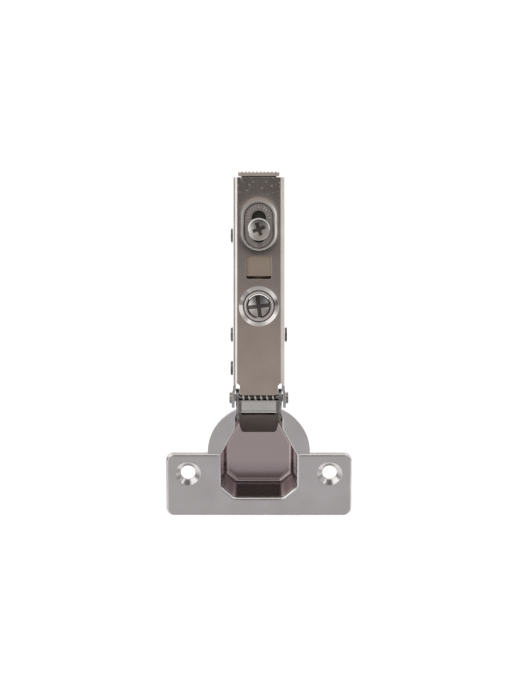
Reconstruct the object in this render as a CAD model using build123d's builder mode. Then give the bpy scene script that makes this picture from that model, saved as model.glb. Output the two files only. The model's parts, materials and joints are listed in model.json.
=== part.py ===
from build123d import *
import os
from math import asin, atan2, cos, degrees, hypot, radians, sin, tan

# A concealed cup hinge with a clip-on arm, shown at its full opening of 110 degrees.
# Frame: the arm lies along Y, its rear at +Y, and its web faces +Z. Z = 0 is the plane in which
# the carrier's lower edges sit on a mounting plate, and the origin is the middle of that seat.
# The cup hangs in front of the arm, turned about X by cup_tilt.

# Sheet steel
sheet = 1.0  # arm and links
cup_sheet = 0.9
carrier_sheet = 1.2

# Clearances between pieces that move on each other
running = 0.05  # radial, pin in its eye
side_gap = 0.3  # between the sides of nested channels
thread_gap = 0.25  # radial, the side screw tips in the arm's collar as the arm tilts
slide_gap = 0.15  # pin in a long slot
pick_room = 0.01  # how near a plane an edge lies to be picked by its place

# Ranges of the two adjustments
depth_travel = 2.0  # arm along the carrier, each way
tilt_travel = 1.6  # degrees that the arm tips about its rear pin, each way

# The linkage. Pivots are (Y, Z); those in the cup are measured from the cup's centre, in its plane
cup_tilt = 20.0
front_pivot_y = -45.0  # outer link on the arm
front_pivot_z = 8.1
cup_from_front_pivot = (-21.71, -4.5)  # cup centre from the front pivot, in the cup's own axes
link_pivot_back = 9.9  # inner link's pivot behind the front pivot
link_pivot_drop = 2.54
outer_pin_y = 9.93
outer_pin_z = -6.62
inner_pin_y = 12.1
inner_pin_z = -3.38
cup_swing = 127.3  # degrees that the cup turns on the outer link as the hinge closes

# Pins and rivets
rivet_r = 1.25
rivet_head_r = 1.9
rivet_head_h = 0.8
rivet_round = 0.35
long_rivet_r = 1.4
long_rivet_head_r = 2.4
cup_pin_r = 1.1
inner_cup_pin_r = 1.0
cup_pin_side = 0.3  # how far the cup pins stand out of the cup's walls

# Cup
boss_r = 17.3
wing_span = 63.2
wing_front = -23.4  # Y of the wing plate's far edge
wing_back = -0.4
wing_corner = 2.8
wing_height = 1.6
wing_round = 1.1
ear_drop = 0.5  # the rounded lugs beside the neck lie this much lower
cup_depth = 11.6
cup_draft = 7.0
rim_round = 1.1  # bend at the basin's mouth, between the wings
ear_rim_round = 0.7  # the same beside the neck
corner_round = 2.8
shoulder_round = 4.0
floor_round = 1.4
neck_half = 7.9
neck_shoulder_y = 8.5
basin_half = 12.8
basin_back_y = -1.0
basin_front_y = -12.6
basin_end_y = -16.6
basin_end_half = 8.2
neck_end_y = 14.6
neck_cut_depth = 6.4  # the neck's end wall is cut down this far for the links
neck_cut_half = 7.3
neck_cut_lead = 1.5
screw_spacing = 48.0
bore_y = -1.6  # the door's 35 mm bore is centred this far in front of the lugs' centre
screw_row = 6.0  # from the bore's centre to the screws' line
screw_hole_r = 2.45
screw_sink_r = 4.3
screw_sink_angle = 115.0
dimple_wall = 0.8

# Outer link. Its web's line is (Y, Z) from the front pivot
link_top = (-1.3, 3.3)
link_bend = (-4.7, 1.2)
link_end = (-11.9, -14.6)
link_bend_r = 1.6
link_fold_r = 1.2
link_side_round = 12.0  # where the ears start to close in
link_top_r = 3.1
link_eye_r = 2.3
link_ear_back = 2.8
link_ear_gap = 0.4  # between the link's ears and the arm's
link_foot_gap = 0.9  # between the link's foot and the neck's walls
link_room = 6.0  # past the link on every side, for the cuts that shape it
link_reach = 20.0
pin_path_gap = 0.5  # round the path that the inner cup pin takes past the link's ears

# Inner link
inner_boss_r = 2.8
inner_eye_r = 2.1
inner_boss_gap = 0.65  # between the link's upper end and the arm's walls
inner_eye_gap = 0.6  # between its lower end and the outer link's ears
inner_neck_start = 4.6
inner_neck_end = 7.4
inner_web_start = 4.6
inner_web_end = 4.6
drift_along = 2.2  # how far the open pivot's pin drifts along the link in mid travel
drift_across = 0.7  # and across it, each way

# Arm
web_top = 11.6
arm_half = 8.65
ear_flare = 0.4  # the ears stand out this much further than the walls
arm_rear_y = 28.4
wall_foot = 1.6  # height of the arm's lower edges above the seat
rear_chamfer = 2.9
web_front = 0.9  # web's front edge behind the front pivot
notch_back = 4.8  # the slits beside the tongue end this far behind the front pivot
flare_start = 3.5
flare_end = 1.5
tongue_gap = 0.3  # between the tongue and the outer link's ears
tongue_corner = 1.2
slit_end_r = 0.75
ear_top_drop = 1.5
ear_r = 3.3
link_ear_r = 3.0
bend_r = 1.5
ear_slope = 6.5  # the wall's lower edge comes down over this length behind the second pivot
window_y = -1.65
window_length = 7.6
window_width = 8.5
window_corner = 0.8
recess_y = 12.35
recess_length = 15.0
recess_width = 9.5
recess_rim = 0.75  # the pressed rim is this much wider at the top
recess_depth = 1.7
recess_slot_front = 6.7
recess_slot_end = 17.4
recess_slot_width = 4.8
sink_depth = 1.0
sink_top_r = 6.65
sink_floor_r = 5.15
collar_rim = 0.5
collar_rise = 0.35
collar_drop = 1.3

# Screws
side_screw_y = -14.5
side_screw_r = 3.8
side_screw_top = 11.0
side_screw_foot = 8.5
side_neck_r = 1.8
side_foot_r = 3.4
side_foot_h = 1.0
foot_gap = 0.3
slot_width = 1.3
slot_depth = 1.0
screw_bore_r = 1.0
lobe_round = 0.3
depth_screw_y = 11.1
depth_head_r = 3.9
depth_head_h = 1.4
depth_shank_r = 2.1
depth_end_r = 3.0
depth_end_h = 0.7
drive_arm_length = 4.4
drive_arm_width = 1.2
drive_depth = 1.1
drive_turn = 20.0
side_drive_turn = 7.0
head_gap = 0.35  # the arm's recess tips under the head
depth_head_round = 0.6

# Carrier
web_gap = 2.4  # between the carrier's web and the arm's
carrier_front_y = -29.8
carrier_rear_y = 27.0
carrier_web_front = -26.5
carrier_web_rear = 22.0
carrier_nose = 3.0
carrier_bend_r = 1.4
guide_pin_y = -23.9
guide_pin_z = 4.4
rear_pin_y = 9.3
rear_pin_z = 4.1
hook_mouth_front = -15.0
hook_mouth_back = -12.2
hook_end = -18.2
hook_height = 2.8
hook_lip = 1.0
cross_slot_y = -6.2
cross_slot_length = 3.6
cross_slot_width = 9.0
stop_drop = 2.6  # the plate's stop is lanced from the cross slot and bent down this far
stop_lap = 0.6  # its end reaches this far past the slot

# Clip lever
lever_web_length = 5.0
lever_pin_y = 21.5
lever_pin_z = 3.6
lever_pin_r = 1.2
lever_boss_r = 2.6
lever_sheet = 1.0
lever_swing = 15.0
tab_front = 29.1
tab_thick = 1.5
tab_half = 6.9
tab_foot = 2.6
tab_top = 7.0
tab_teeth = 11
tab_tooth_depth = 0.35
hook_nose_y = 17.0
hook_heel_y = 20.4
hook_foot = -1.4
hook_bar = 1.6

# Springs
closing_wire = 0.9
closing_coil_r = 1.8
closing_turns = 5.18
closing_end_gap = 1.5  # between the coil's ends and the outer link's ears
closing_bearing = 90.0
closing_rear_leg = 6.0
closing_front_leg = 3.2
lever_wire = 0.6
lever_coil_r = 1.75
lever_turns = 4.1
lever_pitch = 1.1
lever_bearing = 233.0
lever_front_leg = 5.5
lever_rear_leg = 5.0

# Worked out from the sizes above
web_under = web_top - sheet
carrier_top = web_under - web_gap
carrier_under = carrier_top - carrier_sheet
arm_inner = arm_half - sheet
ear_half = arm_half + ear_flare
ear_inner = ear_half - sheet
link_top_half = ear_inner - link_ear_gap
link_foot_half = neck_half + outer_pin_z * tan(radians(cup_draft)) - link_foot_gap
inner_boss_half = arm_inner - inner_boss_gap
inner_eye_half = link_foot_half - sheet - inner_eye_gap
tongue_half = link_top_half - sheet - tongue_gap
carrier_half = arm_inner - side_gap
carrier_inner = carrier_half - carrier_sheet
lean = radians(cup_tilt)
front_pivot = Vector(0, front_pivot_y, front_pivot_z)
link_pivot = Vector(0, front_pivot_y + link_pivot_back, front_pivot_z - link_pivot_drop)
cup_centre = front_pivot + Vector(0, *cup_from_front_pivot).rotate(Axis.X, cup_tilt)
cup_plane = Plane(origin=cup_centre, x_dir=(1, 0, 0), z_dir=(0, -sin(lean), cos(lean)))
cup_axis = Axis(cup_plane.origin, cup_plane.z_dir)
outer_pin = cup_plane.from_local_coords(Vector(0, outer_pin_y, outer_pin_z))
inner_pin = cup_plane.from_local_coords(Vector(0, inner_pin_y, inner_pin_z))
guide_pin = Vector(0, guide_pin_y, guide_pin_z)
rear_pin = Vector(0, rear_pin_y, rear_pin_z)
lever_pin = Vector(0, lever_pin_y, lever_pin_z)


def at(pivot, y=0.0, z=0.0):
    """A point of a side view, measured from a pivot."""
    return (pivot.Y + y, pivot.Z + z)


def across(pivot):
    """A plane whose normal runs along X through a pivot, for pins and eyes."""
    return Plane(origin=pivot, x_dir=(0, 1, 0), z_dir=(1, 0, 0))


os.makedirs("parts", exist_ok=True)


# The cup: one pressed sheet with two screw wings, a drafted basin and a narrow neck for the links
basin_points = [
    (neck_half, neck_end_y),
    (neck_half, neck_shoulder_y),
    (basin_half, basin_back_y),
    (basin_half, basin_front_y),
    (basin_end_half, basin_end_y),
]
basin_outline = basin_points + [(-x, y) for x, y in reversed(basin_points)]
wing_y = (wing_front + wing_back) / 2
wing_length = wing_back - wing_front
screw_hole_y = bore_y - screw_row


def basin_mouth(wall):
    """The basin's outline at its mouth with all its corners rounded, and a wall's thickness round it."""
    with BuildSketch(cup_plane) as view:
        Polygon(*basin_outline, align=None)
        shoulders = view.vertices().group_by(Axis.Y)[-2]
        fillet(view.vertices() - shoulders, corner_round)
        low, high = neck_shoulder_y - pick_room, neck_shoulder_y + pick_room
        fillet(view.vertices().filter_by_position(Axis.Y, low, high), shoulder_round)
        if wall:
            offset(amount=wall)
    return view.sketch


def basin_room(drop, rim):
    """What is cut out of the sheet for the basin. Its mouth flares by the bend of the rim."""
    with BuildPart() as room:
        extrude(basin_mouth(0), amount=-cup_depth, taper=cup_draft)
        fillet(room.edges().group_by(cup_axis)[0], floor_round)
        with BuildSketch(cup_plane.offset(-drop)):
            Circle(wing_span)
        extrude(amount=drop + rim)
        level = room.edges().filter_by(
            lambda e: abs(cup_plane.to_local_coords(e.center()).Z + drop) < pick_room
        )
        fillet(level.filter_by(lambda e: e.length < wing_span), rim)
    return room.part


with BuildPart() as ear_room:
    add(basin_room(ear_drop, ear_rim_round))
    split(bisect_by=Plane(cup_plane.from_local_coords(Vector(0, wing_back, 0)), z_dir=cup_plane.y_dir))

with BuildPart() as hinge_cup:
    with BuildSketch(cup_plane.offset(-wing_height)):
        with Locations((0, wing_y)):
            RectangleRounded(wing_span, wing_length, wing_corner)
    extrude(amount=wing_height)
    fillet(hinge_cup.edges().group_by(cup_axis)[-1], wing_round)
    with BuildSketch(cup_plane.offset(-wing_height)):
        with Locations((0, wing_y)):
            RectangleRounded(
                wing_span - 2 * cup_sheet,
                wing_length - 2 * cup_sheet,
                wing_corner - cup_sheet,
            )
    extrude(amount=wing_height - cup_sheet, mode=Mode.SUBTRACT)
    with BuildSketch(cup_plane.offset(-ear_drop - cup_sheet)):
        Circle(boss_r)
    extrude(amount=cup_sheet)
    with BuildSketch(cup_plane.offset(-wing_height)):
        Circle(boss_r)
        with Locations((0, wing_y)):
            RectangleRounded(wing_span, wing_length, wing_corner, mode=Mode.INTERSECT)
    extrude(amount=wing_height - wing_round)
    extrude(basin_mouth(cup_sheet), amount=-cup_depth - cup_sheet, taper=cup_draft)
    fillet(hinge_cup.edges().group_by(cup_axis)[0], floor_round + cup_sheet)
    with BuildSketch(cup_plane):
        with Locations((0, wing_back)):
            Rectangle(wing_span, wing_span, align=(Align.CENTER, Align.MIN))
    extrude(amount=-ear_drop, mode=Mode.SUBTRACT)
    with Locations(cup_plane.offset(-wing_height)):
        with Locations((-screw_spacing / 2, screw_hole_y), (screw_spacing / 2, screw_hole_y)):
            Cylinder(
                screw_sink_r + dimple_wall,
                wing_height - cup_sheet / 2,
                align=(Align.CENTER, Align.CENTER, Align.MIN),
            )
    add(basin_room(0, rim_round), mode=Mode.SUBTRACT)
    add(ear_room.part, mode=Mode.SUBTRACT)
    with Locations(cup_plane):
        with Locations((-screw_spacing / 2, screw_hole_y), (screw_spacing / 2, screw_hole_y)):
            CounterSinkHole(screw_hole_r, screw_sink_r, wing_height, screw_sink_angle)
    with BuildSketch(cup_plane):
        with Locations((0, neck_end_y - neck_cut_lead)):
            Rectangle(2 * neck_cut_half, boss_r, align=(Align.CENTER, Align.MIN))
    extrude(amount=-neck_cut_depth, mode=Mode.SUBTRACT)
    with Locations(across(outer_pin)):
        Hole(cup_pin_r)
    with Locations(across(inner_pin)):
        Hole(inner_cup_pin_r)
hinge_cup.part.label = "hinge_cup"
export_step(hinge_cup.part, "parts/hinge_cup.step")


def cup_pin(pin, radius):
    """A plain pin held in the neck's two side walls."""
    depth = -cup_plane.to_local_coords(pin).Z
    wall_half = neck_half + cup_sheet - depth * tan(radians(cup_draft))
    with BuildPart() as made:
        with BuildSketch(across(pin)):
            Circle(radius)
        extrude(amount=wall_half + cup_pin_side, both=True)
    return made.part


outer_cup_pin = cup_pin(outer_pin, cup_pin_r)
outer_cup_pin.label = "outer_cup_pin"
export_step(outer_cup_pin, "parts/outer_cup_pin.step")
inner_cup_pin = cup_pin(inner_pin, inner_cup_pin_r)
inner_cup_pin.label = "inner_cup_pin"
export_step(inner_cup_pin, "parts/inner_cup_pin.step")

# The outer link: a folded channel, its web in front, its two ears on the front pivot and the cup
pins_apart = hypot(inner_pin.Y - outer_pin.Y, inner_pin.Z - outer_pin.Z)
pin_bearing = degrees(atan2(inner_pin.Z - outer_pin.Z, inner_pin.Y - outer_pin.Y))
path_room = inner_cup_pin_r + pin_path_gap
path_edge = degrees(asin(path_room / pins_apart))
web_line = [at(front_pivot, *link_top), at(front_pivot, *link_bend), at(front_pivot, *link_end)]


def link_front(inset):
    """The outer link seen from the front: wide at the arm and narrower in the cup's neck."""
    slope = (link_top_half - link_foot_half) / (link_bend[1] - link_end[1])
    low_half = link_top_half - slope * (link_bend[1] + link_reach)
    half = [
        (link_top_half - inset, front_pivot_z + link_room),
        (link_top_half - inset, front_pivot_z + link_bend[1]),
        (low_half - inset, front_pivot_z - link_reach),
    ]
    with BuildSketch(Plane.XZ) as view:
        Polygon(*half, *[(-x, z) for x, z in reversed(half)], align=None)
        fillet(view.vertices().group_by(Axis.Y)[1], link_side_round)
    return view.sketch


with BuildLine(Plane.YZ) as web_path:
    FilletPolyline(*web_line, radius=link_bend_r)


def on_web(edge):
    """Whether an edge runs beside the web's front, where the sheet folds into an ear."""
    point = edge.center()
    beside = abs(point.X) > link_foot_half / 2
    return beside and web_path.wires()[0].distance_to(Vector(0, point.Y, point.Z)) < pick_room


with BuildPart() as link_hollow:
    with BuildSketch(Plane.YZ):
        with BuildLine():
            FilletPolyline(*web_line, radius=link_bend_r)
            inner_web = offset(amount=sheet, side=Side.LEFT, closed=False, mode=Mode.REPLACE)
            Polyline(
                inner_web.wires()[0] @ 1,
                at(front_pivot, link_top[0], link_room),
                at(front_pivot, link_room, link_room),
                at(front_pivot, link_room, -link_reach),
                at(front_pivot, link_end[0], -link_reach),
                inner_web.wires()[0] @ 0,
            )
        make_face()
    extrude(amount=ear_half, both=True)
    extrude(link_front(sheet), amount=-front_pivot_y + link_reach, both=True, mode=Mode.INTERSECT)

with BuildPart() as outer_link:
    with BuildSketch(Plane.YZ):
        with BuildLine():
            FilletPolyline(*web_line, radius=link_bend_r)
            Polyline(
                web_line[-1],
                at(outer_pin, 0, -link_eye_r),
                at(outer_pin, link_ear_back, path_room + pins_apart),
                at(front_pivot, link_top_r, 0),
                web_line[0],
            )
        make_face()
        with Locations(at(front_pivot)):
            Circle(link_top_r)
        with BuildLine():
            path_arc = CenterArc(
                at(outer_pin),
                pins_apart + path_room,
                pin_bearing - cup_swing - path_edge,
                cup_swing + 2 * path_edge,
            )
            Polyline(path_arc @ 1, at(outer_pin), path_arc @ 0)
        make_face(mode=Mode.SUBTRACT)
        with Locations(at(outer_pin)):
            Circle(link_eye_r)
            Circle(cup_pin_r + running, mode=Mode.SUBTRACT)
        with Locations(at(front_pivot)):
            Circle(rivet_r + running, mode=Mode.SUBTRACT)
    extrude(amount=link_top_half, both=True)
    extrude(link_front(0), amount=-front_pivot_y + link_reach, both=True, mode=Mode.INTERSECT)
    fillet(outer_link.edges().filter_by(on_web), link_fold_r)
    add(link_hollow.part, mode=Mode.SUBTRACT)
outer_link.part.label = "outer_link"
export_step(outer_link.part, "parts/outer_link.step")

# The inner link: a channel from the arm's second pivot down to the cup's inner pin. Its upper eye
# is a slot, because the closed linkage is opened there
link_run = inner_pin - link_pivot
inner_length = hypot(link_run.Y, link_run.Z)
inner_side = Plane(origin=link_pivot, x_dir=link_run, z_dir=(1, 0, 0))
inner_plan = Plane(origin=link_pivot, x_dir=link_run, z_dir=inner_side.y_dir)


def inner_outline(inset):
    """The inner link seen square to its web: wide at the arm, narrow between the outer link's ears."""
    half = [
        (-inner_boss_r, inner_boss_half - inset),
        (inner_neck_start, inner_boss_half - inset),
        (inner_neck_end, inner_eye_half - inset),
        (inner_length + inner_boss_r, inner_eye_half - inset),
    ]
    return half + [(x, -y) for x, y in reversed(half)]


with BuildPart() as inner_link:
    with BuildSketch(inner_side):
        Polygon(
            (0, inner_boss_r),
            (0, -inner_boss_r),
            (inner_length, -inner_eye_r),
            (inner_length, inner_eye_r),
            align=None,
        )
        Circle(inner_boss_r)
        with Locations((inner_length, 0)):
            Circle(inner_eye_r)
    extrude(amount=inner_boss_half, both=True)
    with BuildSketch(inner_plan):
        Polygon(*inner_outline(0), align=None)
    extrude(amount=inner_length, both=True, mode=Mode.INTERSECT)
    with BuildSketch(inner_plan.offset(sheet - inner_eye_r)):
        Polygon(*inner_outline(sheet), align=None)
    extrude(amount=inner_length, mode=Mode.SUBTRACT)
    with BuildSketch(inner_plan):
        with Locations((inner_web_start, 0)):
            Rectangle(inner_length, 2 * inner_boss_half - 2 * sheet, align=(Align.MAX, Align.CENTER))
        with Locations((inner_length - inner_web_end, 0)):
            Rectangle(inner_length, 2 * inner_eye_half - 2 * sheet, align=(Align.MIN, Align.CENTER))
    extrude(amount=inner_length, both=True, mode=Mode.SUBTRACT)
    with BuildSketch(inner_side):
        with Locations((inner_length, 0)):
            Circle(inner_cup_pin_r + running)
        with Locations((drift_along / 2, 0)):
            SlotCenterToCenter(drift_along, 2 * (rivet_r + drift_across))
    extrude(amount=inner_boss_half, both=True, mode=Mode.SUBTRACT)
inner_link.part.label = "inner_link"
export_step(inner_link.part, "parts/inner_link.step")


# The arm: a pressed channel. Its web ends in a tongue between two slits, in which the outer link's
# ears turn, and its walls run on as ears for the two pivots
web_front_y = front_pivot_y + web_front
notch_y = front_pivot_y + notch_back
slit_x = tongue_half + slit_end_r
wall_half = [
    (arm_half, arm_rear_y),
    (arm_half, notch_y - flare_start + flare_end),
    (ear_half, notch_y - flare_start),
    (ear_half, front_pivot_y - 2 * ear_r),
]


def arm_plan(inset):
    """The arm seen from above, with its ears spread a little at the front."""
    half = [(x - inset, y) for x, y in wall_half]
    return half + [(-x, y) for x, y in reversed(half)]


with BuildPart() as hinge_arm:
    with BuildSketch(Plane.YZ):
        Polygon(
            (front_pivot_y, web_top),
            (arm_rear_y, web_top),
            (arm_rear_y, wall_foot + rear_chamfer),
            (arm_rear_y - rear_chamfer, wall_foot),
            (link_pivot.Y + ear_slope, wall_foot),
            at(link_pivot, 0, -link_ear_r),
            at(front_pivot, 0, -ear_r),
            align=None,
        )
        with Locations(at(front_pivot)):
            Circle(ear_r)
        with Locations(at(link_pivot)):
            Circle(link_ear_r)
    extrude(amount=ear_half, both=True)
    with BuildSketch(Plane.XY):
        Polygon(*arm_plan(0), align=None)
    extrude(amount=2 * web_top, both=True, mode=Mode.INTERSECT)
    with BuildSketch(Plane.XY.offset(web_under)):
        Polygon(*arm_plan(sheet), align=None)
    extrude(amount=-2 * web_top, mode=Mode.SUBTRACT)
    with BuildSketch(Plane.XY.offset(web_top - ear_top_drop)):
        with Locations((0, notch_y - slit_end_r)):
            Rectangle(2 * ear_half, notch_back + 2 * ear_r, align=(Align.CENTER, Align.MAX))
        with Locations((-slit_x, notch_y - slit_end_r), (slit_x, notch_y - slit_end_r)):
            Circle(slit_end_r)
        with Locations((0, web_front_y)):
            RectangleRounded(
                2 * tongue_half,
                2 * notch_back,
                tongue_corner,
                align=(Align.CENTER, Align.MIN),
                mode=Mode.SUBTRACT,
            )
    extrude(amount=ear_top_drop, mode=Mode.SUBTRACT)
    top_edges = hinge_arm.edges().filter_by(Axis.Y).group_by(Axis.Z)[-1]
    fillet(top_edges.filter_by(lambda e: abs(e.center().X) > tongue_half + sheet), bend_r)
    # pressed seat of the side screw
    with BuildSketch(Plane.XY.offset(web_under - collar_drop)):
        with Locations((0, side_screw_y)):
            Circle(sink_floor_r + sheet)
    extrude(amount=collar_drop)
    with BuildSketch(Plane.XY.offset(web_top)):
        with Locations((0, side_screw_y)):
            Circle(sink_top_r)
    with BuildSketch(Plane.XY.offset(web_top - sink_depth)):
        with Locations((0, side_screw_y)):
            Circle(sink_floor_r)
    loft(mode=Mode.SUBTRACT)
    with BuildSketch(Plane.XY.offset(web_top - sink_depth)):
        with Locations((0, side_screw_y)):
            Circle(side_screw_r + thread_gap + collar_rim)
    extrude(amount=collar_rise)
    with BuildSketch(Plane.XY.offset(web_top)):
        with Locations((0, side_screw_y)):
            Circle(side_screw_r + thread_gap)
    extrude(amount=-web_top, mode=Mode.SUBTRACT)
    # pressed recess of the depth screw
    with BuildSketch(Plane.XY.offset(web_top - recess_depth - sheet)):
        with Locations((0, recess_y)):
            SlotOverall(recess_length + 2 * sheet, recess_width + 2 * sheet, rotation=90)
    extrude(amount=recess_depth)
    with BuildSketch(Plane.XY.offset(web_top)):
        with Locations((0, recess_y)):
            SlotOverall(recess_length + 2 * recess_rim, recess_width + 2 * recess_rim, rotation=90)
    with BuildSketch(Plane.XY.offset(web_top - recess_depth)):
        with Locations((0, recess_y)):
            SlotOverall(recess_length, recess_width, rotation=90)
    loft(mode=Mode.SUBTRACT)
    with BuildSketch(Plane.XY.offset(web_top)):
        with Locations((0, (recess_slot_front + recess_slot_end) / 2)):
            SlotOverall(recess_slot_end - recess_slot_front, recess_slot_width, rotation=90)
        with Locations((0, window_y)):
            RectangleRounded(window_width, window_length, window_corner)
    extrude(amount=-web_top, mode=Mode.SUBTRACT)
    with Locations(across(front_pivot), across(link_pivot)):
        Hole(rivet_r)
    with Locations(across(guide_pin)):
        Hole(long_rivet_r)
    with Locations(across(rear_pin)):
        Hole(long_rivet_r + running)
hinge_arm.part.label = "hinge_arm"
export_step(hinge_arm.part, "parts/hinge_arm.step")


# The carrier: the inner channel that clips on a mounting plate. The arm slides and tips on it
rear_slot = 2 * (depth_travel + long_rivet_r + slide_gap)
guide_reach = (rear_pin_y - guide_pin_y) * sin(radians(tilt_travel))
guide_window = (rear_slot, 2 * (guide_reach + long_rivet_r + slide_gap))
neck_slot = 2 * (depth_travel + side_neck_r + slide_gap)
stop_root = cross_slot_y + cross_slot_length / 2
stop_end = cross_slot_y - cross_slot_length / 2 - stop_lap
stop_top = carrier_top - stop_drop

with BuildPart() as carrier:
    with BuildSketch(Plane.YZ):
        Polygon(
            (carrier_front_y, carrier_nose),
            (carrier_front_y, carrier_top),
            (carrier_rear_y, carrier_top),
            (carrier_rear_y, 0),
            (carrier_front_y + carrier_nose, 0),
            align=None,
        )
    extrude(amount=carrier_half, both=True)
    with BuildSketch(Plane.XY.offset(carrier_under)):
        with Locations((0, carrier_front_y)):
            Rectangle(2 * carrier_inner, carrier_rear_y - carrier_front_y, align=(Align.CENTER, Align.MIN))
    extrude(amount=-carrier_top, mode=Mode.SUBTRACT)
    with BuildSketch(Plane.XY.offset(carrier_under)):
        with Locations((0, carrier_web_front)):
            Rectangle(2 * carrier_inner, carrier_web_front - carrier_front_y, align=(Align.CENTER, Align.MAX))
        with Locations((0, carrier_web_rear)):
            Rectangle(2 * carrier_inner, carrier_rear_y - carrier_web_rear, align=(Align.CENTER, Align.MIN))
        with Locations((0, side_screw_y)):
            SlotOverall(neck_slot, 2 * (side_neck_r + slide_gap), rotation=90)
        with Locations((0, side_screw_y + neck_slot / 2)):
            Circle(side_foot_r + slide_gap)
        with Locations((0, cross_slot_y)):
            Rectangle(cross_slot_width, cross_slot_length)
        with Locations((0, depth_screw_y)):
            Circle(depth_shank_r + running)
    extrude(amount=carrier_sheet, mode=Mode.SUBTRACT)
    with BuildSketch(Plane.YZ):
        Polygon(
            (stop_root, carrier_top),
            (stop_root, carrier_under),
            (stop_end, stop_top - carrier_sheet),
            (stop_end, stop_top),
            align=None,
        )
    extrude(amount=cross_slot_width / 2, both=True)
    top_edges = carrier.edges().filter_by(Axis.Y).group_by(Axis.Z)[-1]
    fillet(top_edges.filter_by(lambda e: abs(e.center().X) > carrier_inner), carrier_bend_r)
    with BuildSketch(Plane.YZ):
        with Locations((guide_pin_y, guide_pin_z)):
            RectangleRounded(*guide_window, long_rivet_r)
        with Locations((rear_pin_y, rear_pin_z)):
            SlotOverall(rear_slot, 2 * (long_rivet_r + running))
        with Locations((hook_mouth_front, 0)):
            Rectangle(hook_mouth_back - hook_mouth_front, 2 * hook_height, align=(Align.MIN, Align.CENTER))
        with Locations((hook_end, hook_lip)):
            Rectangle(hook_mouth_back - hook_end, hook_height - hook_lip, align=(Align.MIN, Align.MIN))
        with Locations(at(lever_pin)):
            Circle(lever_pin_r)
    extrude(amount=carrier_half, both=True, mode=Mode.SUBTRACT)
carrier.part.label = "carrier"
export_step(carrier.part, "parts/carrier.step")


# Rivets and pins across the channels
def rivet(pivot, radius, head_radius, half, right_head):
    """A rivet through the arm's walls. Its left end always has a head, its right end may be flush."""
    with BuildPart() as made:
        with BuildSketch(across(pivot)):
            Circle(radius)
        extrude(amount=half, both=True)
        with BuildSketch(across(pivot).offset(-half)):
            Circle(head_radius)
        extrude(amount=-rivet_head_h)
        if right_head:
            with BuildSketch(across(pivot).offset(half)):
                Circle(head_radius)
            extrude(amount=rivet_head_h)
        fillet(made.edges().filter_by(GeomType.CIRCLE).group_by(SortBy.RADIUS)[-1].sort_by(Axis.X)[0], rivet_round)
    return made.part


rivets = {
    "outer_link_rivet": rivet(front_pivot, rivet_r, rivet_head_r, ear_half, True),
    "inner_link_rivet": rivet(link_pivot, rivet_r, long_rivet_head_r, arm_half, False),
    "guide_rivet": rivet(guide_pin, long_rivet_r, long_rivet_head_r, arm_half, True),
    "rear_rivet": rivet(rear_pin, long_rivet_r, long_rivet_head_r, arm_half, False),
}
for name, made in rivets.items():
    made.label = name
    export_step(made, "parts/" + name + ".step")

with BuildPart() as lever_pin_part:
    with BuildSketch(across(lever_pin)):
        Circle(lever_pin_r)
    extrude(amount=carrier_half, both=True)
lever_pin_part.part.label = "clip_lever_pin"
export_step(lever_pin_part.part, "parts/clip_lever_pin.step")

# The side screw: a slotted disc threaded in the arm's collar, its foot held in the carrier's slot
side_centre = (0, side_screw_y)
with BuildPart() as side_screw:
    with BuildSketch(Plane.XY.offset(side_screw_foot)):
        with Locations(side_centre):
            Circle(side_screw_r)
    extrude(amount=side_screw_top - side_screw_foot)
    chamfer(side_screw.edges().group_by(Axis.Z)[-1], lobe_round)
    with BuildSketch(Plane.XY.offset(side_screw_foot)):
        with Locations(side_centre):
            Circle(side_neck_r)
    extrude(amount=carrier_under - foot_gap - side_screw_foot)
    with BuildSketch(Plane.XY.offset(carrier_under - foot_gap)):
        with Locations(side_centre):
            Circle(side_foot_r)
    extrude(amount=-side_foot_h)
    with BuildSketch(Plane.XY.offset(side_screw_top)):
        with Locations(Location((0, side_screw_y, 0), (0, 0, side_drive_turn))):
            Rectangle(slot_width, 2 * side_screw_r)
            Rectangle(2 * side_screw_r, slot_width)
            Circle(screw_bore_r)
    extrude(amount=-slot_depth, mode=Mode.SUBTRACT)
side_screw.part.label = "side_screw"
export_step(side_screw.part, "parts/side_screw.step")

# The depth screw: a pan head in the arm's recess, its shank riveted over under the carrier's web
depth_centre = (0, depth_screw_y)
head_foot = web_top - recess_depth + head_gap
with BuildPart() as depth_screw:
    with BuildSketch(Plane.XY.offset(head_foot)):
        with Locations(depth_centre):
            Circle(depth_head_r)
    extrude(amount=depth_head_h)
    fillet(depth_screw.edges().group_by(Axis.Z)[-1], depth_head_round)
    with BuildSketch(Plane.XY.offset(head_foot)):
        with Locations(depth_centre):
            Circle(depth_shank_r)
    extrude(amount=carrier_under - slide_gap - head_foot)
    with BuildSketch(Plane.XY.offset(carrier_under - slide_gap)):
        with Locations(depth_centre):
            Circle(depth_end_r)
    extrude(amount=-depth_end_h)
    with BuildSketch(Plane.XY.offset(head_foot + depth_head_h)):
        with Locations(Location((0, depth_screw_y, 0), (0, 0, drive_turn))):
            Rectangle(drive_arm_width, drive_arm_length)
            Rectangle(drive_arm_length, drive_arm_width)
            Circle(screw_bore_r)
    extrude(amount=-drive_depth, mode=Mode.SUBTRACT)
depth_screw.part.label = "depth_screw"
export_step(depth_screw.part, "parts/depth_screw.step")

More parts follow.
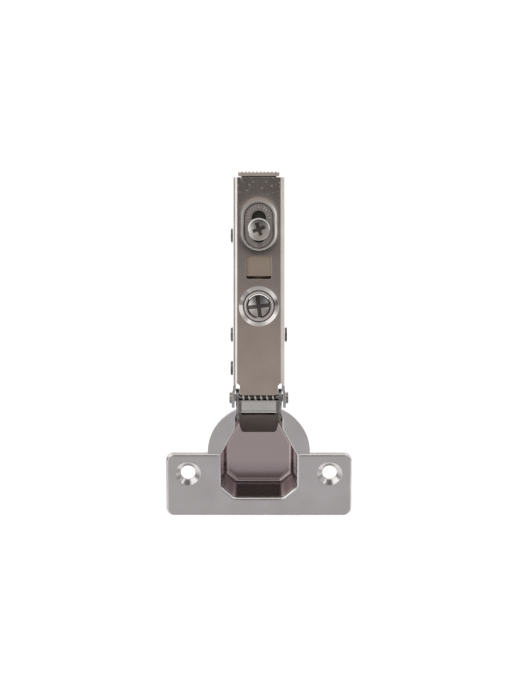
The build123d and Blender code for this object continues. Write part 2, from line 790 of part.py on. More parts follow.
# The clip lever: a folded piece with a thumb tab behind the arm and a hook for the plate's rear
lever_half = carrier_inner - side_gap
with BuildPart() as clip_lever:
    with BuildSketch(Plane.YZ) as lever_side:
        Polygon(
            (hook_nose_y, hook_foot),
            (hook_heel_y, hook_foot),
            (lever_pin_y + lever_boss_r, lever_pin_z),
            (tab_front, tab_foot),
            (tab_front, lever_pin_z + lever_boss_r),
            (lever_pin_y, lever_pin_z + lever_boss_r),
            (lever_pin_y - lever_boss_r, lever_pin_z),
            (hook_heel_y - hook_bar, hook_foot + hook_bar),
            (hook_nose_y, hook_foot + hook_bar),
            align=None,
        )
        with Locations(at(lever_pin)):
            Circle(lever_boss_r)
    extrude(amount=lever_half, both=True)
    with BuildSketch(Plane.YZ):
        with Locations((hook_heel_y - hook_bar, hook_foot + hook_bar)):
            Rectangle(
                tab_front - hook_heel_y + hook_bar,
                lever_pin_z - hook_foot + lever_boss_r,
                align=(Align.MIN, Align.MIN),
            )
    extrude(amount=lever_half - lever_sheet, both=True, mode=Mode.SUBTRACT)
    with BuildSketch(Plane.YZ):
        with Locations((tab_front, lever_pin_z + lever_boss_r)):
            Rectangle(lever_web_length, lever_sheet, align=(Align.MAX, Align.MAX))
    extrude(amount=lever_half, both=True)
    with BuildSketch(Plane.YZ):
        with Locations((tab_front, tab_foot)):
            Rectangle(tab_thick, tab_top - tab_foot, align=(Align.MIN, Align.MIN))
    extrude(amount=tab_half, both=True)
    with BuildSketch(Plane.XY.offset(tab_top)):
        with Locations((0, tab_front + tab_thick)):
            with GridLocations(2 * tab_half / tab_teeth, 0, tab_teeth, 1):
                Rectangle(tab_half / tab_teeth, 2 * tab_tooth_depth)
    extrude(amount=tab_foot - tab_top, mode=Mode.SUBTRACT)
    with Locations(across(lever_pin)):
        Hole(lever_pin_r + running)
clip_lever.part.label = "clip_lever"
export_step(clip_lever.part, "parts/clip_lever.step")


# Springs: a coil round a pin, with a straight leg at each end
def coil_spring(pivot, wire, coil_radius, turns, pitch, start_bearing, start_leg, end_leg):
    """The coil starts at start_bearing, degrees from +Y towards +Z, and turns the same way."""
    half = turns * pitch / 2
    start = radians(start_bearing)
    axis = Plane(origin=pivot - Vector(half, 0, 0), x_dir=(0, cos(start), sin(start)), z_dir=(1, 0, 0))
    turn = axis * Helix(pitch, 2 * half, coil_radius)
    with BuildPart() as made:
        with BuildSketch(Plane(origin=turn @ 0, z_dir=turn % 0)):
            Circle(wire / 2)
        sweep(path=turn)
        for end, length in ((0, -start_leg), (1, end_leg)):
            with BuildSketch(Plane(origin=turn @ end, z_dir=turn % end)):
                Circle(wire / 2)
            extrude(amount=length)
    return made.part


closing_spring = coil_spring(
    front_pivot,
    closing_wire,
    closing_coil_r,
    closing_turns,
    2 * (link_top_half - sheet - closing_end_gap) / closing_turns,
    closing_bearing,
    closing_rear_leg,
    closing_front_leg,
)
closing_spring.label = "closing_spring"
export_step(closing_spring, "parts/closing_spring.step")
lever_spring = coil_spring(
    lever_pin,
    lever_wire,
    lever_coil_r,
    lever_turns,
    lever_pitch,
    lever_bearing,
    lever_front_leg,
    lever_rear_leg,
)
lever_spring.label = "lever_spring"
export_step(lever_spring, "parts/lever_spring.step")
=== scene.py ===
# %% [markdown]
# # A concealed cup hinge, dressed in Blender
# The construction of this hinge comes from a CAD model: every sheet, pin and screw already stands
# where it belongs. This lesson gives the steel its plated finish, adds the small pressed and rolled
# details that repeat, and sets up the studio in which the hinge is photographed.
#
# The first cell loads the CAD model as a fixed frame. Blender reckons in metres, so a small helper
# turns millimetres into metres and keeps the numbers readable.

# %% The CAD frame
import bpy
import json
from math import pi, radians
from mathutils import Matrix, Vector


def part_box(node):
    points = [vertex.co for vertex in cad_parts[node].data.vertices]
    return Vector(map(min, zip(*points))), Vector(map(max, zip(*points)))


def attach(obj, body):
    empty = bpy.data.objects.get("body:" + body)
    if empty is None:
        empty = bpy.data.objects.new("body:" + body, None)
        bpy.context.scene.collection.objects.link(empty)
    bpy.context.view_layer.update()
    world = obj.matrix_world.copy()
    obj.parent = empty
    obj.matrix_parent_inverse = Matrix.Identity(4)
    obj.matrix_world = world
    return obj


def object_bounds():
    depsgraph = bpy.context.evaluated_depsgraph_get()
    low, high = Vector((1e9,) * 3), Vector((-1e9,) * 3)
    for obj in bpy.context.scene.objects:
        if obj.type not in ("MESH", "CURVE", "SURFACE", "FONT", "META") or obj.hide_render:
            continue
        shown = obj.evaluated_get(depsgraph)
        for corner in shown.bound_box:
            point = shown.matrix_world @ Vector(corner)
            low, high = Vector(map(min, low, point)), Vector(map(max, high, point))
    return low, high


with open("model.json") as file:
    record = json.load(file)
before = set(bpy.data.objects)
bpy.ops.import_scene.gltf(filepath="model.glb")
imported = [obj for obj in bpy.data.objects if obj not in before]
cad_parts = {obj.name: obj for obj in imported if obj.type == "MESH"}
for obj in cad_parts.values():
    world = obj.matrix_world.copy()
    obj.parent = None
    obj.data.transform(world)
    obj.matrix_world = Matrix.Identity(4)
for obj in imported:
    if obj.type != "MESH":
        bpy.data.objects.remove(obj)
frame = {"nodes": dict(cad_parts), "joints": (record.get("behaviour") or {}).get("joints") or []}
cad_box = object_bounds()
nodes = frame["nodes"]
print("CAD nodes:", len(nodes))


def mm(*lengths):
    """Millimetres as metres: one number, or a point."""
    metres = [length / 1000 for length in lengths]
    return metres[0] if len(metres) == 1 else Vector(metres)


# %% [markdown]
# ## Helpers for materials
# Colours are picked as on a paint chart, in sRGB hex, but Blender's shaders reckon in linear light,
# so one function turns the one into the other. A second one adds a node to a material, sets its
# properties and inputs, and links the inputs that are given as sockets. A third starts a material.
# With these, a finish reads like a recipe.

# %% Colour and node helpers
def linear(hex_colour):
    """An sRGB colour such as "#c8c2b8" as linear red, green, blue and alpha."""
    channels = [int(hex_colour[i:i + 2], 16) / 255 for i in (1, 3, 5)]
    return [c / 12.92 if c <= 0.04045 else ((c + 0.055) / 1.055) ** 2.4 for c in channels] + [1.0]


def add_node(tree, kind, inputs=(), **settings):
    """A node with its settings, and its inputs set to values or linked to sockets."""
    node = tree.nodes.new(kind)
    for name, value in settings.items():
        setattr(node, name, value)
    for name, value in dict(inputs).items():
        if isinstance(value, bpy.types.NodeSocket):
            tree.links.new(value, node.inputs[name])
        else:
            node.inputs[name].default_value = value
    return node


def new_material(name):
    """An empty node material with its Principled shader already linked to the output."""
    material = bpy.data.materials.new(name)
    material.use_nodes = True
    tree = material.node_tree
    tree.nodes.clear()
    shader = add_node(tree, "ShaderNodeBsdfPrincipled")
    add_node(tree, "ShaderNodeOutputMaterial", {"Surface": shader.outputs["BSDF"]})
    return material, tree, shader


print("A mid grey is", round(linear("#808080")[0], 3), "in linear light")

# %% [markdown]
# ## Nickel-plated steel
# Every piece of this hinge is steel sheet, bar or wire with a nickel plate. Nickel is a metal with
# a faint warm tint. The plate copies the surface of the rolled sheet under it, so it isn't a
# mirror: a fine grain runs along the rolling direction and spreads the reflections.
#
# One flat colour would give the tint, but plated sheet has slow clouds of a slightly different
# tone. So the tone is a large soft noise, and the grain is a noise drawn out along the sheet. Each
# has its own size in millimetres and reads Object coordinates, so that it stays put on the steel.
# The real grain is a few hundredths of a millimetre wide. It is drawn 0.12 mm wide, coarse enough
# to show as a faint streak.
#
# The pressings are tumbled before they are plated, which rounds their free edges. A Bevel node
# gives the cup and the arm such edges in the light alone, so their shape stays that of the CAD.

# %% The recipe for plated steel
noise_low = 0.3  # nearly all of a noise lies between these two
noise_high = 0.7
grain_stretch = 14  # a fibre of the grain is this many times as long as it is wide
grain_depth = mm(0.01)
duller = 0.03  # the grain makes the plate this much duller in places
shinier = 0.02


def per_metre(size):
    """The scale that makes a noise pattern about `size` millimetres wide."""
    return 1000 / size


def plated_steel(name, light, dark, roughness, along="Y", cloud=9.0, grain=0.12, edge=0.0):
    """Nickel plate on steel, with clouds of tone, a grain along one axis and tumbled edges.

    The clouds' size, the grain's width and the edges' radius are in millimetres.
    """
    material, tree, shader = new_material(name)
    place = add_node(tree, "ShaderNodeTexCoord").outputs["Object"]
    clouds = add_node(
        tree, "ShaderNodeTexNoise",
        {"Vector": place, "Scale": per_metre(cloud), "Detail": 3.0, "Roughness": 0.5},
    )
    tone = add_node(tree, "ShaderNodeValToRGB", {"Fac": clouds.outputs["Fac"]})
    stops = ((noise_low, dark), (noise_high, light))
    for stop, (position, colour) in zip(tone.color_ramp.elements, stops):
        stop.position = position
        stop.color = linear(colour)
    squeeze = [1.0, 1.0, 1.0]
    squeeze["XYZ".index(along)] = 1 / grain_stretch
    rolled = add_node(tree, "ShaderNodeMapping", {"Vector": place, "Scale": squeeze})
    fibres = add_node(
        tree, "ShaderNodeTexNoise",
        {"Vector": rolled.outputs["Vector"], "Scale": per_metre(grain), "Detail": 2.0},
    )
    gloss = add_node(
        tree, "ShaderNodeMapRange",
        {"Value": fibres.outputs["Fac"], "From Min": noise_low, "From Max": noise_high,
         "To Min": roughness - shinier, "To Max": roughness + duller},
    )
    relief = add_node(
        tree, "ShaderNodeBump",
        {"Height": fibres.outputs["Fac"], "Strength": 0.03, "Distance": grain_depth},
    )
    if edge:
        soft = add_node(tree, "ShaderNodeBevel", {"Radius": mm(edge)}, samples=6)
        tree.links.new(soft.outputs["Normal"], relief.inputs["Normal"])
    tree.links.new(tone.outputs["Color"], shader.inputs["Base Color"])
    tree.links.new(gloss.outputs["Result"], shader.inputs["Roughness"])
    tree.links.new(relief.outputs["Normal"], shader.inputs["Normal"])
    shader.inputs["Metallic"].default_value = 1.0
    return material


print("A noise one millimetre wide has the scale", per_metre(1.0))

# %% [markdown]
# ## A finish for each piece
# All finishes follow that recipe. The arm, the cup and the links are bright sheet. The carrier and
# the lever come from another bath, warmer and duller. Rivets, screws and springs are turned or
# drawn, so their clouds are smaller. The three rivets whose ends show behind the linkage, on the
# arm's sides, are painted dark: a painted shade, for the shade behind the linkage.

# %% Finishes
arm_steel = plated_steel("arm_nickel_plate", "#cdc8c4", "#c3bdb8", 0.11, edge=0.15)
cup_steel = plated_steel("cup_nickel_plate", "#cfccca", "#c6c2c0", 0.15, along="X", edge=0.55)
link_steel = plated_steel("link_nickel_plate", "#cfcdca", "#c5c2bf", 0.14)
carrier_steel = plated_steel("carrier_warm_plate", "#ccbeaf", "#c0b2a3", 0.24)
lever_steel = plated_steel("lever_warm_plate", "#dfd3c9", "#d0c5bb", 0.3, along="X")
rivet_steel = plated_steel("rivet_bright_plate", "#a9a5a1", "#8f8b87", 0.22, cloud=2.0)
# painted shade: the rivets behind the linkage get a dark colour for the shade they stand in
rivet_shade_steel = plated_steel("rivet_painted_shade_plate", "#8d8986", "#5c5856", 0.3, cloud=2.0)
screw_steel = plated_steel("screw_bright_plate", "#cfccc8", "#bdb9b4", 0.16, cloud=2.5)
star_steel = plated_steel("screw_pan_head_plate", "#cfccc8", "#bdb9b4", 0.18, cloud=2.5)
spring_steel = plated_steel("spring_wire_plate", "#cac6c1", "#b5b0aa", 0.2, cloud=1.5)
finishes = {
    "hinge_arm": arm_steel,
    "hinge_cup": cup_steel,
    "outer_link": link_steel,
    "inner_link": link_steel,
    "carrier": carrier_steel,
    "clip_lever": lever_steel,
    "side_screw": screw_steel,
    "depth_screw": star_steel,
    "closing_spring": spring_steel,
    "lever_spring": spring_steel,
    "guide_rivet": rivet_shade_steel,
    "rear_rivet": rivet_shade_steel,
    "inner_link_rivet": rivet_shade_steel,
}
for name, piece in nodes.items():
    finish = finishes.get(name, rivet_steel)
    for slot in piece.material_slots:
        slot.material = finish
    print(name, "gets", finish.name)

# %% [markdown]
# ## Painted shade in hollows and between parts
# Several places get a plain colour for the shade that falls there. The screws' recesses and the
# slide under the depth screw are painted dark as painted shade, and the shelf behind the lever's
# tab is painted almost black, a painted shadow. The steep face of the outer link, its ears, the
# ends of the spring and the middle of the front rivet are painted darker and duller, as painted
# shade between the parts, while the arm's own ears look a little cooler. In the deep-drawn basin of
# the cup the steel is painted darker and warmer than on the wings, a painted shade in the hollow.
#
# A second material would need its own faces, and the CAD pieces have none for it. So a box in the
# piece's own coordinates says where the tone changes. The cup leans forward, so its boxes lean too,
# and they change only the steel that faces into the basin. The change fades over a tenth of a
# millimetre, over half a millimetre on the link's face, and over seven towards the cup's front.

# %% Helpers for patches
# A Mix node has its sockets once for each kind of value. These are the places of A, B and result
mix_sockets = {"FLOAT": (2, 3, 0), "RGBA": (6, 7, 2)}


def shader_of(material):
    """A finish's Principled shader."""
    return next(node for node in material.node_tree.nodes if node.type == "BSDF_PRINCIPLED")


def place_of(material):
    """A finish's Object coordinates."""
    tree = material.node_tree
    return next(node for node in tree.nodes if node.type == "TEX_COORD").outputs["Object"]


def retone(material, share, colour, roughness):
    """Mixes a colour and a roughness into a finish where share is 1."""
    tree = material.node_tree
    shader = shader_of(material)
    changes = (("Base Color", "RGBA", linear(colour)), ("Roughness", "FLOAT", roughness))
    for name, kind, value in changes:
        first, second, result = mix_sockets[kind]
        before = shader.inputs[name].links[0].from_socket
        both = add_node(
            tree, "ShaderNodeMix", {0: share, first: before, second: value}, data_type=kind
        )
        tree.links.new(both.outputs[result], shader.inputs[name])


def patch(
    material, low, high, colour, roughness=0.5,
    origin=Vector((0, 0, 0)), lean=0.0, fade=0.1, facing=None,
):
    """Changes a finish inside a box, and with `facing` only where the steel faces that point.

    The corners, the fade and the point are in millimetres, and are measured from the origin along
    axes that lean about X.
    """
    tree = material.node_tree
    place = place_of(material)
    centre = (mm(*low) + mm(*high)) / 2
    reach = (mm(*high) - mm(*low)) / 2
    own = add_node(
        tree, "ShaderNodeMapping",
        {"Vector": place, "Location": origin, "Rotation": (lean, 0.0, 0.0)},
        vector_type="TEXTURE",
    )
    off = add_node(
        tree, "ShaderNodeVectorMath", {0: own.outputs["Vector"], 1: centre}, operation="SUBTRACT"
    )
    far = add_node(tree, "ShaderNodeVectorMath", {0: off.outputs["Vector"]}, operation="ABSOLUTE")
    left = add_node(
        tree, "ShaderNodeVectorMath", {0: reach, 1: far.outputs["Vector"]}, operation="SUBTRACT"
    )
    walls = add_node(tree, "ShaderNodeSeparateXYZ", {"Vector": left.outputs["Vector"]}).outputs
    nearer = add_node(tree, "ShaderNodeMath", {0: walls["X"], 1: walls["Y"]}, operation="MINIMUM")
    nearest = add_node(
        tree, "ShaderNodeMath", {0: nearer.outputs["Value"], 1: walls["Z"]}, operation="MINIMUM"
    )
    inside = add_node(
        tree, "ShaderNodeMapRange", {"Value": nearest.outputs["Value"], "From Max": mm(fade)}
    )
    share = inside.outputs["Result"]
    if facing is not None:
        point = origin + Matrix.Rotation(lean, 3, "X") @ mm(*facing)
        towards = add_node(tree, "ShaderNodeVectorMath", {0: point, 1: place}, operation="SUBTRACT")
        turned = add_node(
            tree, "ShaderNodeVectorMath",
            {0: towards.outputs["Vector"], 1: place.node.outputs["Normal"]},
            operation="DOT_PRODUCT",
        )
        faces = add_node(
            tree, "ShaderNodeMath", {0: turned.outputs["Value"], 1: 0.0}, operation="GREATER_THAN"
        )
        both = add_node(
            tree, "ShaderNodeMath", {0: share, 1: faces.outputs["Value"]}, operation="MULTIPLY"
        )
        share = both.outputs["Value"]
    retone(material, share, colour, roughness)


def corners(node):
    """The lowest and the highest corner of a CAD piece's box, in millimetres."""
    return [point * 1000 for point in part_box(node)]


print("A colour is mixed at sockets", mix_sockets["RGBA"])

# %% Painted shade in the screws, on the slide and behind the tab
# painted shade: the screws' star and slots are painted dark, for the shade down in them
recess_painted_shade = "#625e5c"
star_low, star_high = corners("depth_screw")
star_middle = (star_low + star_high) / 2
star_reach = 2.3  # from the star's middle to past its points
star_depth = 1.3  # from the head's top to below the star's floor
star_rim = 0.08  # the star's walls keep their plate colour this far down, below it the painted shade begins
patch(
    star_steel,
    (-star_reach, star_middle.y - star_reach, star_high.z - star_depth),
    (star_reach, star_middle.y + star_reach, star_high.z - star_rim),
    recess_painted_shade, roughness=0.25,
)
side_low, side_high = corners("side_screw")
side_middle = (side_low + side_high) / 2
slot_depth = 1.2  # the same for the slots
slot_rim = 0.05
patch(
    screw_steel,
    (side_low.x, side_low.y, side_high.z - slot_depth),
    (side_high.x, side_high.y, side_high.z - slot_rim),
    recess_painted_shade, roughness=0.25,
)
# painted shade: the carrier seen through the slot under the depth screw is painted dark
slide = ((-3.0, 5.0, 5.0), (3.0, 19.0, 9.0))  # each box is its lowest and its highest corner
patch(carrier_steel, *slide, "#43433a")
# painted shadow: the shelf behind the lever's tab is painted almost black, as the shadow under the
# tab
tab_front = 29.1
shelf = ((-8.0, 24.0, 0.0), (8.0, tab_front, 9.0))
patch(lever_steel, *shelf, "#1d1b1a")
print("Star under", round(star_high.z, 2), "mm, slots under", round(side_high.z, 2), "mm")

# %% Painted shade in the cup
front_pivot = next(
    Vector(joint["pos_m"]) for joint in frame["joints"] if joint["name"] == "outer_fold"
)
cup_lean = radians(20)
cup_middle = front_pivot + Matrix.Rotation(cup_lean, 3, "X") @ mm(0, -21.71, -4.5)
basin_middle = (0, -1.0, -6.0)
basin_lip = -1.6
# painted shade: the basin is painted darker and warmer than the wings, only where the steel faces
# into it
basin = ((-12.6, -16.4, -11.9), (12.6, 21.0, basin_lip))
patch(
    cup_steel, *basin, "#b7a9a8", roughness=0.14,
    origin=cup_middle, lean=cup_lean, facing=basin_middle,
)
# painted shade: darker still, fading in over seven millimetres towards the basin's front wall
basin_front = ((-40.0, -30.0, -40.0), (40.0, -7.0, basin_lip))
patch(
    cup_steel, *basin_front, "#9c9091", roughness=0.2,
    origin=cup_middle, lean=cup_lean, fade=7.0, facing=basin_middle,
)
print("Middle of the cup's mouth:", [round(1000 * c, 2) for c in cup_middle], "mm")

# %% Painted shade on the linkage, and the arm's cooler ears
# painted shade: the steep face of the outer link is painted darker and duller
link_face = ((-9.0, -60.0, -8.0), (9.0, -46.5, 7.2))
patch(link_steel, *link_face, "#99918b", roughness=0.34, fade=0.5)
ear_inside = 5.7
ear_outside = 9.4
for side in (-1, 1):
    left, right = sorted((side * ear_inside, side * ear_outside))
    link_ear = ((left, -60.0, -8.0), (right, -30.0, 20.0))
    arm_ear = ((left, -52.0, 0.0), (right, -39.6, 11.2))
    # painted shade between the parts: the link's ears and the spring's ends are painted darker
    patch(link_steel, *link_ear, "#827d7a", roughness=0.36)
    patch(spring_steel, *link_ear, "#4a4643", roughness=0.4)
    patch(arm_steel, *arm_ear, "#c6cacd", roughness=0.2)
# painted shade: the middle of the front rivet, seen between the spring's coils, is painted darker
rivet_shank = ((-5.8, -50.0, 2.0), (5.8, -40.0, 20.0))
patch(rivet_steel, *rivet_shank, "#6a6663", roughness=0.4)
print("Ears patched from", ear_inside, "to", ear_outside, "mm")

# %% [markdown]
# ## The arm's sheet is drawn in round its recess
# When the press pushes the screw's recess into the web, the sheet round it is drawn in a little:
# less than a tenth of a millimetre, dying away over two. The dish is too shallow to see as a shape,
# but it tips the reflections, so a white glint stands at each long side of the recess and a soft
# halo round its rear. The CAD surface stays as it is: a bump that dies away with the distance from
# the recess's outline gives the same glints.

# %% Helpers for bumps
def slot_distance(tree, place, centre, length, width):
    """The distance from the outline of a round-ended slot along Y. It is below 0 in the slot."""
    off = add_node(tree, "ShaderNodeVectorMath", {0: place, 1: centre}, operation="SUBTRACT")
    off = add_node(tree, "ShaderNodeSeparateXYZ", {"Vector": off.outputs["Vector"]}).outputs
    along = add_node(tree, "ShaderNodeMath", {0: off["Y"]}, operation="ABSOLUTE")
    half_straight = (length - width) / 2
    past = add_node(
        tree, "ShaderNodeMath", {0: along.outputs["Value"], 1: half_straight}, operation="SUBTRACT"
    )
    past = add_node(
        tree, "ShaderNodeMath", {0: past.outputs["Value"], 1: 0.0}, operation="MAXIMUM"
    )
    flat = add_node(tree, "ShaderNodeCombineXYZ", {"X": off["X"], "Y": past.outputs["Value"]})
    reach = add_node(tree, "ShaderNodeVectorMath", {0: flat.outputs["Vector"]}, operation="LENGTH")
    distance = add_node(
        tree, "ShaderNodeMath", {0: reach.outputs["Value"], 1: width / 2}, operation="SUBTRACT"
    )
    return distance.outputs["Value"]


def bump(material, height, strength, distance):
    """One more bump on top of those that a finish already has."""
    shader = shader_of(material)
    below = shader.inputs["Normal"].links[0].from_socket
    added = add_node(
        material.node_tree, "ShaderNodeBump",
        {"Height": height, "Normal": below, "Strength": strength, "Distance": distance},
    )
    material.node_tree.links.new(added.outputs["Normal"], shader.inputs["Normal"])


print("The arm's finish starts with", len(arm_steel.node_tree.nodes), "nodes")

# %% Dish round the recess
arm_tree = arm_steel.node_tree
arm_place = place_of(arm_steel)
recess_middle = mm(0, 12.35, 11.6)
recess_wall = mm(0.75)  # how far the wall reaches out between the floor and the rim
recess_length = mm(15.0) + 2 * recess_wall
recess_width = mm(9.5) + 2 * recess_wall
dish_depth = mm(0.08)
dish_fade = mm(0.65)
from_rim = slot_distance(arm_tree, arm_place, recess_middle, recess_length, recess_width)
outside = add_node(arm_tree, "ShaderNodeMath", {0: from_rim, 1: 0.0}, operation="MAXIMUM")
fades = add_node(
    arm_tree, "ShaderNodeMath", {0: outside.outputs["Value"], 1: -1 / dish_fade},
    operation="MULTIPLY",
)
drawn = add_node(arm_tree, "ShaderNodeMath", {0: fades.outputs["Value"]}, operation="EXPONENT")
dish = add_node(
    arm_tree, "ShaderNodeMath", {0: 1.0, 1: drawn.outputs["Value"]}, operation="SUBTRACT"
)
bump(arm_steel, dish.outputs["Value"], strength=1.0, distance=dish_depth)
print("Dish", round(dish_depth * 1000, 2), "mm deep round the recess")

# %% [markdown]
# ## Floor, wall and creases
# The recess's floor is coined, so it is rougher and darker than the web, and its wall is painted
# as a bright matt ring, a painted highlight. A thin dark line at the foot of the wall is painted
# shade in the crease. The side screw's collar has such a painted crease too, and its flat ring is
# painted bright, a painted highlight.
# All of these follow the distance from an outline, so that they are as even as pressed work.

# %% Tones of the recess and the collar, painted highlights and painted shade among them
crease = mm(0.1)  # half the crease's width
wall_fade = mm(0.1)
floor_box = ((-4.8, 4.8, 8.0), (4.8, 19.9, 10.4))
patch(arm_steel, *floor_box, "#a19a97", roughness=0.3)
above_foot = add_node(
    arm_tree, "ShaderNodeMapRange",
    {"Value": from_rim, "From Min": -recess_wall, "From Max": wall_fade - recess_wall},
)
within_rim = add_node(
    arm_tree, "ShaderNodeMapRange", {"Value": from_rim, "From Min": wall_fade, "From Max": 0.0}
)
# painted highlight: the recess's wall is painted as a bright matt ring
on_wall = add_node(
    arm_tree, "ShaderNodeMath",
    {0: above_foot.outputs["Result"], 1: within_rim.outputs["Result"]}, operation="MULTIPLY",
)
retone(arm_steel, on_wall.outputs["Value"], "#f2eeea", roughness=0.55)
# painted shade: a thin dark line in the crease at the foot of the recess's wall
from_foot = add_node(arm_tree, "ShaderNodeMath", {0: from_rim, 1: recess_wall}, operation="ADD")
from_foot = add_node(
    arm_tree, "ShaderNodeMath", {0: from_foot.outputs["Value"]}, operation="ABSOLUTE"
)
in_crease = add_node(
    arm_tree, "ShaderNodeMapRange",
    {"Value": from_foot.outputs["Value"], "From Min": crease + wall_fade, "From Max": crease},
)
retone(arm_steel, in_crease.outputs["Result"], "#4a4644", roughness=0.35)
collar_fade = 0.08
# painted highlight: the collar's flat ring is painted bright
collar_painted_highlight = (4.6, 0.32, "#ece8e6")  # radius, half its width and tone
# painted shade: a thin dark ring in the collar's crease
collar_crease = (5.15, 0.16, "#565250")
from_screw = slot_distance(arm_tree, arm_place, mm(*side_middle), 0.0, 0.0)
for radius, half_width, tone in (collar_painted_highlight, collar_crease):
    off_ring = add_node(
        arm_tree, "ShaderNodeMath", {0: from_screw, 1: mm(radius)}, operation="SUBTRACT"
    )
    off_ring = add_node(
        arm_tree, "ShaderNodeMath", {0: off_ring.outputs["Value"]}, operation="ABSOLUTE"
    )
    on_ring = add_node(
        arm_tree, "ShaderNodeMapRange",
        {"Value": off_ring.outputs["Value"], "From Min": mm(half_width + collar_fade),
         "From Max": mm(half_width)},
    )
    retone(arm_steel, on_ring.outputs["Result"], tone, roughness=0.2)
print("Collar's rings at", collar_painted_highlight[0], "and", collar_crease[0], "mm")

# %% [markdown]
# ## Specks and crowned heads
# Grit from the bath is plated over and leaves specks, most of them at the web's rear end. They are
# the peaks of a noise just under a millimetre wide, faded in along the arm.
#
# The two screw heads are turned slightly crowned, by about a fifth of a millimetre. That too is a
# bump, which puts glints on the left and right of the heads.

# %% Specks on the web
speck_size = 0.8
speck_height = mm(0.024)
speck_foot = 0.66  # a speck starts where the noise is this high, and is full at its top
speck_top = 0.8
specks_start = mm(8)
specks_full = mm(26)
grit = add_node(
    arm_tree, "ShaderNodeTexNoise",
    {"Vector": arm_place, "Scale": per_metre(speck_size), "Detail": 1.0},
)
peaks = add_node(
    arm_tree, "ShaderNodeMapRange",
    {"Value": grit.outputs["Fac"], "From Min": speck_foot, "From Max": speck_top},
)
along_arm = add_node(arm_tree, "ShaderNodeSeparateXYZ", {"Vector": arm_place})
rear_share = add_node(
    arm_tree, "ShaderNodeMapRange",
    {"Value": along_arm.outputs["Y"], "From Min": specks_start, "From Max": specks_full},
)
specks = add_node(
    arm_tree, "ShaderNodeMath",
    {0: peaks.outputs["Result"], 1: rear_share.outputs["Result"]}, operation="MULTIPLY",
)
bump(arm_steel, specks.outputs["Value"], strength=0.5, distance=speck_height)
print("Specks from", round(specks_start * 1000), "mm on")

# %% Crowned heads
def crown(material, middle, radius, rise):
    """Crowns a round head by a bump that falls with the square of the distance from its middle."""
    tree = material.node_tree
    across = 1 / mm(radius)
    off = add_node(
        tree, "ShaderNodeVectorMath", {0: place_of(material), 1: mm(*middle)}, operation="SUBTRACT"
    )
    flat = add_node(
        tree, "ShaderNodeVectorMath", {0: off.outputs["Vector"], 1: (across, across, 0)},
        operation="MULTIPLY",
    )
    fall = add_node(
        tree, "ShaderNodeVectorMath", {0: flat.outputs["Vector"], 1: flat.outputs["Vector"]},
        operation="DOT_PRODUCT",
    )
    height = add_node(
        tree, "ShaderNodeMath", {0: 1.0, 1: fall.outputs["Value"]}, operation="SUBTRACT"
    )
    bump(material, height.outputs["Value"], strength=1.0, distance=mm(rise))


crown(star_steel, star_middle, star_high.x, rise=0.2)
crown(screw_steel, side_middle, side_high.x, rise=0.24)
print("Heads crowned:", round(star_high.x, 2), "and", round(side_high.x, 2), "mm in radius")

# %% [markdown]
# ## Pressed ribs in the recess
# The floor of the recess is pressed into small ribs that grip the underside of the screw's head: a
# fan of short ones round the rear of the slot, and a few across its front. They could be modelled
# one by one, but they follow a rule, so Geometry Nodes place them. The fan stands on the points of
# an arc, which also give each rib its direction. The cross ribs stand on the points of a line, and
# get longer from the front end of the recess inwards. Each rib is a ball drawn out to its own
# length and half sunk in the floor, which is what a round-nosed punch leaves.

# %% Helpers for trees
def new_tree(name, sizes):
    """A geometry node tree with named inputs, each a float or a whole number."""
    tree = bpy.data.node_groups.new(name, "GeometryNodeTree")
    for label, value in sizes.items():
        kind = "NodeSocketInt" if isinstance(value, int) else "NodeSocketFloat"
        socket = tree.interface.new_socket(label, in_out="INPUT", socket_type=kind)
        socket.default_value = value
    tree.interface.new_socket("Geometry", in_out="OUTPUT", socket_type="NodeSocketGeometry")
    return tree, add_node(tree, "NodeGroupInput").outputs


def finish_tree(tree, geometry, material):
    """Ends a tree: its instances become real, shade smooth and get their finish."""
    smooth = add_node(tree, "GeometryNodeSetShadeSmooth", {"Geometry": geometry})
    real = add_node(
        tree, "GeometryNodeRealizeInstances", {"Geometry": smooth.outputs["Geometry"]}
    )
    painted = add_node(
        tree, "GeometryNodeSetMaterial",
        {"Geometry": real.outputs["Geometry"], "Material": material},
    )
    add_node(tree, "NodeGroupOutput", {"Geometry": painted.outputs["Geometry"]})


def run_tree(tree, name, sizes, material):
    """Runs a tree on an empty mesh and keeps the result as a plain mesh."""
    base = bpy.data.objects.new(name + "_base", bpy.data.meshes.new(name + "_base"))
    bpy.context.collection.objects.link(base)
    modifier = base.modifiers.new(name, "NODES")
    modifier.node_group = tree
    for item in tree.interface.items_tree:
        if item.in_out == "INPUT":
            modifier[item.identifier] = sizes[item.name]
    graph = bpy.context.evaluated_depsgraph_get()
    mesh = bpy.data.meshes.new_from_object(base.evaluated_get(graph))
    mesh.name = name
    mesh.materials.clear()
    mesh.materials.append(material)
    bpy.data.objects.remove(base)
    piece = bpy.data.objects.new(name, mesh)
    bpy.context.collection.objects.link(piece)
    return piece


# %% Rib tree: the fan
rib_sizes = {
    "Fan ribs": 13,
    "Fan radius": mm(3.65),
    "Fan rib length": mm(0.75),
    "Fan centre": mm(15.0),
    "Cross ribs": 3,
    "First cross rib": mm(5.42),
    "Cross rib step": mm(0.44),
    "Shortest cross rib": mm(1.3),
    "Longest cross rib": mm(3.3),
    "Rib width": mm(0.19),
    "Rib height": mm(0.22),
    "Floor": mm(9.9),
}
ribs_tree, size = new_tree("recess_ribs", rib_sizes)
rib = add_node(ribs_tree, "GeometryNodeMeshUVSphere", {"Segments": 12, "Rings": 6, "Radius": 1.0})
arc = add_node(
    ribs_tree, "GeometryNodeCurveArc",
    {"Resolution": 64, "Radius": size["Fan radius"], "Start Angle": 0.0, "Sweep Angle": pi},
)
places = add_node(
    ribs_tree, "GeometryNodeCurveToPoints",
    {"Curve": arc.outputs["Curve"], "Count": size["Fan ribs"]},
)
